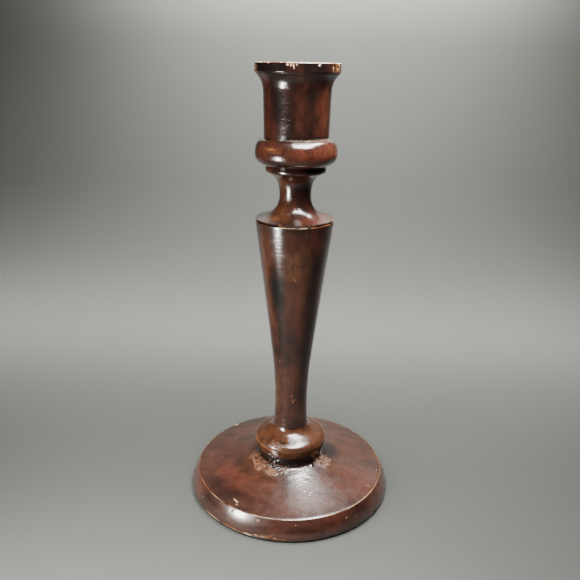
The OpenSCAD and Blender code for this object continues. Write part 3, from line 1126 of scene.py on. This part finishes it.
def wall_material():
    """Plain grey paint."""
    g = Graph("grey_wall")
    tone = g.noise(300, detail=3, seed=1)
    g.give("Base Color", g.blend(tone, *WALL_TONES))
    g.give("Roughness", 0.9)
    return g.material


def sweep():
    """A sheet of paper that lies flat under the object and curves up behind it."""
    flat_back, bend, bend_steps = 0.22, 0.28, 24
    profile = [(-STAGE_HALF, 0.0), (flat_back, 0.0)]
    for i in range(1, bend_steps + 1):
        a = math.radians(90 * i / bend_steps)
        profile.append((flat_back + bend * math.sin(a), bend * (1 - math.cos(a))))
    profile.append((flat_back + bend, STAGE_TALL))
    verts = [(x, y, z) for y, z in profile for x in (-STAGE_HALF, STAGE_HALF)]
    faces = [(2 * i, 2 * i + 1, 2 * i + 3, 2 * i + 2) for i in range(len(profile) - 1)]
    paper = sheet("paper_sweep", verts, faces, paper_material())
    return paper


def surround():
    """A plain grey wall that curves round the sides and the front. Only the camera sees it."""
    back, steps = 0.5, 48
    ring = [(-STAGE_HALF, back)]
    for i in range(steps + 1):
        a = math.pi * i / steps
        ring.append((-STAGE_HALF * math.cos(a), -STAGE_HALF * math.sin(a)))
    ring.append((STAGE_HALF, back))
    verts = [(x, y, z) for x, y in ring for z in (0.0, STAGE_TALL)]
    faces = [(2 * i, 2 * i + 2, 2 * i + 3, 2 * i + 1) for i in range(len(ring) - 1)]
    wall = sheet("room_wall", verts, faces, wall_material())
    wall.visible_glossy = False
    wall.visible_diffuse = False
    wall.visible_shadow = False
    return wall


def area_light(name, place, target, size, power, colour=LAMP_WHITE):
    """A rectangular lamp. A target a hair off straight below it keeps its sides along X and Y."""
    data = bpy.data.lights.new(name, "AREA")
    data.shape = "RECTANGLE"
    data.size, data.size_y = size
    data.energy = power
    data.color = colour
    lamp = bpy.data.objects.new(name, data)
    lamp.location = place
    lamp.rotation_euler = (Vector(target) - Vector(place)).to_track_quat("-Z", "Y").to_euler()
    lamp.visible_camera = False
    bpy.context.scene.collection.objects.link(lamp)
    return lamp


def lights(paper, wall):
    """A softbox and a low lamp for the whole scene, and four lamps for the paper and the wall alone."""
    paper_only = bpy.data.collections.new("paper_only")
    paper_only.objects.link(paper)
    paper_only.objects.link(wall)
    area_light("softbox", (0.055, -0.022, 0.38), (0.055, -0.0221, 0), (0.15, 0.276), 10.8)
    area_light("low_lamp", (-0.19, -0.16, 0.102), (0, 0, 0.11), (0.045, 0.1), 2.7, LAMP_WARM)
    for name, place, target, size, power in (
        ("band_light", (-0.04, 0.24, 0.115), (-0.04, 0.2401, 0), (0.8, 0.03), 7.5),
        ("wall_light", (0.045, 0.4, 0.44), (0.045, 0.5, 0.35), (0.46, 0.04), 25.0),
        ("front_light", (-0.03, -0.16, 0.14), (-0.03, -0.1601, 0), (0.2, 0.05), 3.9),
        ("room_light", (-0.6, -0.3, 1.1), (-0.6, -0.3001, 0), (1.0, 1.0), 8.0),
    ):
        lamp = area_light(name, place, target, size, power)
        lamp.light_linking.receiver_collection = paper_only
    world = bpy.data.worlds.new("dim_room")
    world.use_nodes = True
    glow = world.node_tree.nodes["Background"]
    glow.inputs["Color"].default_value = ROOM_BLUE
    glow.inputs["Strength"].default_value = ROOM_STRENGTH
    bpy.context.scene.world = world


def camera():
    """A view down from just under rim height, with the frame a little tilted. Angles are in degrees."""
    sensor, lens = 36, 36 * 32 / 29
    pitch, roll, yaw = 19.15, 1.10, 0.31
    away, height = 0.3467, 0.2474
    data = bpy.data.cameras.new("camera")
    data.sensor_width = sensor
    data.lens = lens
    eye = bpy.data.objects.new("camera", data)
    turn = Matrix.Rotation(math.radians(yaw), 4, "Z") @ Matrix.Rotation(math.radians(90 - pitch), 4, "X")
    turn = turn @ Matrix.Rotation(math.radians(roll), 4, "Z")
    eye.matrix_world = Matrix.Translation((0, -away, height)) @ turn
    bpy.context.scene.collection.objects.link(eye)
    bpy.context.scene.camera = eye


# ---- the whole


camera()
lights(sweep(), surround())
base_piece(varnished(
    "base_varnish", FLAT_GRAIN, WORN_STAIN,
    gloss=(0.24, 0.33), peel=(0.015, 0.008, 0.0), coat=(0.65, 0.16),
))
stem_piece(varnished(
    "stem_varnish", UPRIGHT_GRAIN, FULL_STAIN,
    gloss=(0.18, 0.28), peel=(0.035, 0.015, 0.055), coat=(0.2, 0.12),
))
nozzle_piece(varnished(
    "nozzle_varnish", UPRIGHT_GRAIN, FULL_STAIN,
    gloss=(0.15, 0.25), peel=(0.06, 0.04, 0.04), coat=(0.2, 0.12),
))
pad_piece(baize())
screw = nodes["base_screw"]
screw.data.materials.clear()
screw.data.materials.append(screw_steel())
